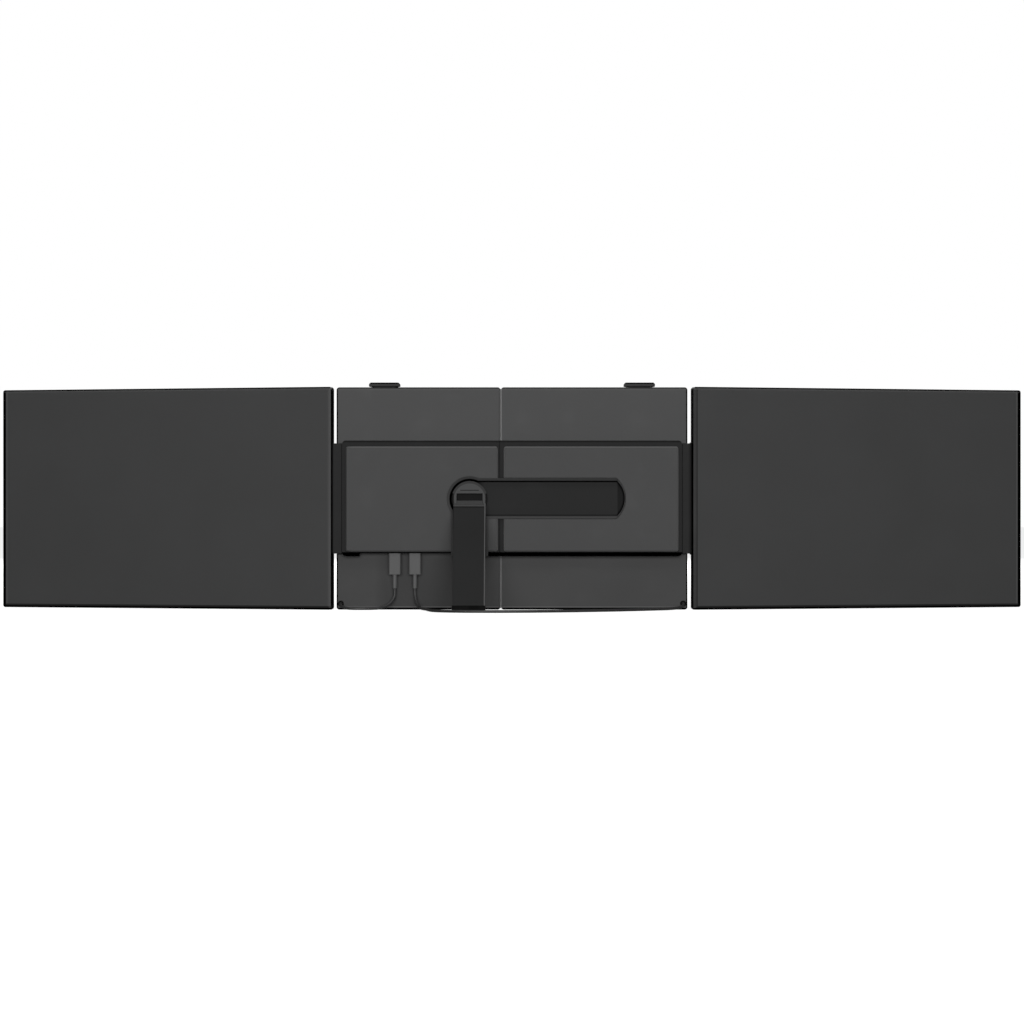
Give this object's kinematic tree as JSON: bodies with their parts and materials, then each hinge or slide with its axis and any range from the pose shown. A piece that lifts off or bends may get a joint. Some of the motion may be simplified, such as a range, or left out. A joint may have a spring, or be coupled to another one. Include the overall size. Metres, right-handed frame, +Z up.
{
  "type": "laptop screen extender",
  "caption": "Folding laptop screen extender: side screens hinged on a telescopic casing with a rear hub, turntable kickstand and spring clips that grip the laptop's lid.",
  "frame": {"origin": "foot of the middle casing, at mid thickness and in the middle of its width", "axes": "+X to the right seen from behind, +Y towards the user, +Z up"},
  "size_m": [1.0444, 0.2383, 0.2269],
  "materials": {
    "casing_metal": "fine sand-blasted dark grey coating",
    "cover_plastic": "satin dark grey moulding",
    "rim_plastic": "matt near-black moulding",
    "tray_plastic": "matt near-black moulding",
    "screen_shell": "fine textured dark grey moulding",
    "bezel_plastic": "matt black moulding",
    "display_glass": "anti-glare coated black glass",
    "board": "green solder resist",
    "steel": "bare steel",
    "hinge_metal": "dark powder coating",
    "leg_metal": "satin black coating",
    "rubber": "matt black rubber",
    "glide_plastic": "bare low-friction plastic",
    "button_plastic": "matt black moulding",
    "plug_plastic": "satin mid-grey over-moulding",
    "relief_plastic": "satin mid-grey over-moulding",
    "clip_plastic": "matt black moulding",
    "cord_jacket": "satin black cord jacket"
  },
  "bodies": {
    "root": {"left_back_shell": "casing_metal", "left_front_panel": "casing_metal", "left_case_screws": "steel", "left_lid_pads": "rubber", "left_hub_case": "rim_plastic", "left_hub_cover": "cover_plastic", "slide_tongue": "hinge_metal", "tray_screws": "steel", "kickstand_tray": "tray_plastic", "hub_board": "board", "hub_sockets": "steel", "left_hinge_bracket": "hinge_metal", "left_hinge_shield": "hinge_metal", "left_hinge_pin": "steel", "left_grommet": "rubber", "left_plug": "plug_plastic", "left_strain_relief": "relief_plastic", "left_cord": "cord_jacket", "right_plug": "plug_plastic", "right_strain_relief": "relief_plastic", "right_cord_start": "cord_jacket", "left_clip_spring": "steel"},
    "right_half": {"right_back_shell": "casing_metal", "right_front_panel": "casing_metal", "right_case_screws": "steel", "right_lid_pads": "rubber", "right_hub_case": "rim_plastic", "right_hub_cover": "cover_plastic", "slide_glides": "glide_plastic", "right_hinge_bracket": "hinge_metal", "right_hinge_shield": "hinge_metal", "right_hinge_pin": "steel", "right_grommet": "rubber", "right_cord_end": "cord_jacket", "right_clip_spring": "steel"},
    "turntable_body": {"turntable": "cover_plastic", "turntable_nut": "steel", "turntable_washer": "steel", "leg_pin": "steel"},
    "leg_body": {"kickstand_leg": "leg_metal", "leg_foot": "rubber"},
    "left_clip_body": {"left_clip": "clip_plastic", "left_clip_pad": "rubber"},
    "right_clip_body": {"right_clip": "clip_plastic", "right_clip_pad": "rubber"},
    "left_screen": {"left_back_cover": "screen_shell", "left_bezel": "bezel_plastic", "left_display": "display_glass", "left_driver_board": "board", "left_hinge_leaf": "hinge_metal"},
    "right_screen": {"right_back_cover": "screen_shell", "right_bezel": "bezel_plastic", "right_display": "display_glass", "right_driver_board": "board", "right_hinge_leaf": "hinge_metal"},
    "left_power_body": {"left_power_button": "button_plastic"},
    "left_menu_body": {"left_menu_button": "button_plastic"},
    "right_power_body": {"right_power_button": "button_plastic"},
    "right_menu_body": {"right_menu_button": "button_plastic"}
  },
  "joints": [
    {"name": "half_slide", "type": "slide", "parent": "root", "child": "right_half", "axis": [1, 0, 0], "range_m": [0, 0.065]},
    {"name": "left_screen_hinge", "type": "hinge", "parent": "root", "child": "left_screen", "pos_m": [-0.1805, 0.00175, 0.111], "axis": [0, 0, 1], "range_deg": [-162.8, 0]},
    {"name": "right_screen_hinge", "type": "hinge", "parent": "right_half", "child": "right_screen", "pos_m": [0.1805, 0.00725, 0.111], "axis": [0, 0, -1], "range_deg": [-162.4, 0]},
    {"name": "turntable_swivel", "type": "hinge", "parent": "root", "child": "turntable_body", "pos_m": [-0.0423, -0.01, 0.11045], "axis": [0, 1, 0], "range_deg": [-90, 0]},
    {"name": "leg_tilt", "type": "hinge", "parent": "turntable_body", "child": "leg_body", "pos_m": [-0.0423, -0.0118, 0.10745], "axis": [-1, 0, 0], "range_deg": [-41.25, 15]},
    {"name": "left_clip_slide", "type": "slide", "parent": "root", "child": "left_clip_body", "axis": [0, 0, 1], "range_m": [0, 0.025], "stiffness_N_per_m": 150, "springref_m": -0.01, "deforming": ["left_clip_spring"]},
    {"name": "right_clip_slide", "type": "slide", "parent": "right_half", "child": "right_clip_body", "axis": [0, 0, 1], "range_m": [0, 0.025], "stiffness_N_per_m": 150, "springref_m": -0.01, "deforming": ["right_clip_spring"]},
    {"name": "left_power_press", "type": "slide", "parent": "left_screen", "child": "left_power_body", "axis": [0.9553, -0.2957, 0], "range_m": [0, 0.0005], "stiffness_N_per_m": 1500, "springref_m": -0.0003},
    {"name": "left_menu_press", "type": "slide", "parent": "left_screen", "child": "left_menu_body", "axis": [0.9553, -0.2957, 0], "range_m": [0, 0.0005], "stiffness_N_per_m": 1500, "springref_m": -0.0003},
    {"name": "right_power_press", "type": "slide", "parent": "right_screen", "child": "right_power_body", "axis": [-0.9532, -0.3024, 0], "range_m": [0, 0.0005], "stiffness_N_per_m": 1500, "springref_m": -0.0003},
    {"name": "right_menu_press", "type": "slide", "parent": "right_screen", "child": "right_menu_body", "axis": [-0.9532, -0.3024, 0], "range_m": [0, 0.0005], "stiffness_N_per_m": 1500, "springref_m": -0.0003}
  ]
}
